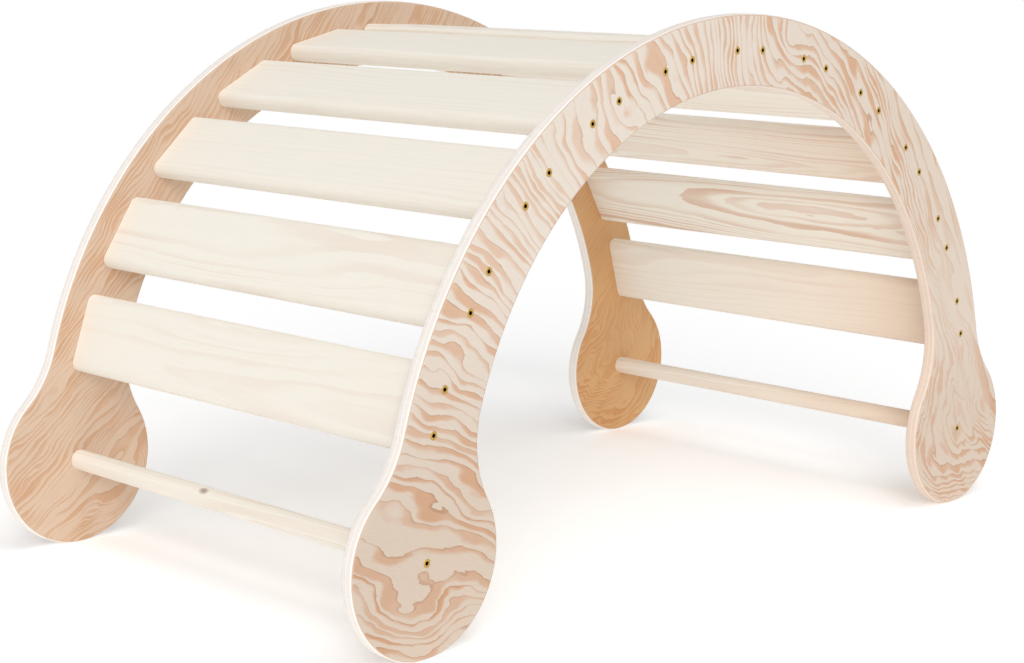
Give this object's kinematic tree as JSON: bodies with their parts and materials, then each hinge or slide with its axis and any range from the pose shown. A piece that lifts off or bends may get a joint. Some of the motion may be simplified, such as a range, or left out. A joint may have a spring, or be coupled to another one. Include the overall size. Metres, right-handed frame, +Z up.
{
  "type": "wooden rocker arch",
  "caption": "Wooden climbing arch that a child can also rock in when it is turned over: plywood side panels with round feet, joined by flat slats and round grip rods.",
  "frame": {"origin": "on the floor, under the middle of the arch, where the feet rest", "axes": "+Z up; X along the arch, from the left feet to the right feet; Y across it, from the front side panel at -Y to the back one at +Y"},
  "size_m": [1.092, 0.56, 0.593],
  "materials": {
    "plywood": "softwood plywood with a bold rotary-cut face veneer, sanded, unvarnished; pale edges with fine ply lines",
    "pine_slat": "planed and sanded solid pine, unvarnished",
    "pine_rod": "turned and sanded pine, unvarnished",
    "zinc_screw": "yellow zinc-plated steel"
  },
  "bodies": {
    "root": {"side_panel_front": "plywood", "side_panel_back": "plywood", "slat_01": "pine_slat", "slat_02": "pine_slat", "slat_03": "pine_slat", "slat_04": "pine_slat", "slat_05": "pine_slat", "slat_06": "pine_slat", "slat_07": "pine_slat", "slat_08": "pine_slat", "slat_09": "pine_slat", "slat_10": "pine_slat", "slat_11": "pine_slat", "grip_rod_left": "pine_rod", "grip_rod_right": "pine_rod", "slat_01_screws": "zinc_screw", "slat_02_screws": "zinc_screw", "slat_03_screws": "zinc_screw", "slat_04_screws": "zinc_screw", "slat_05_screws": "zinc_screw", "slat_06_screws": "zinc_screw", "slat_07_screws": "zinc_screw", "slat_08_screws": "zinc_screw", "slat_09_screws": "zinc_screw", "slat_10_screws": "zinc_screw", "slat_11_screws": "zinc_screw", "grip_rod_left_screws": "zinc_screw", "grip_rod_right_screws": "zinc_screw"}
  },
  "joints": []
}
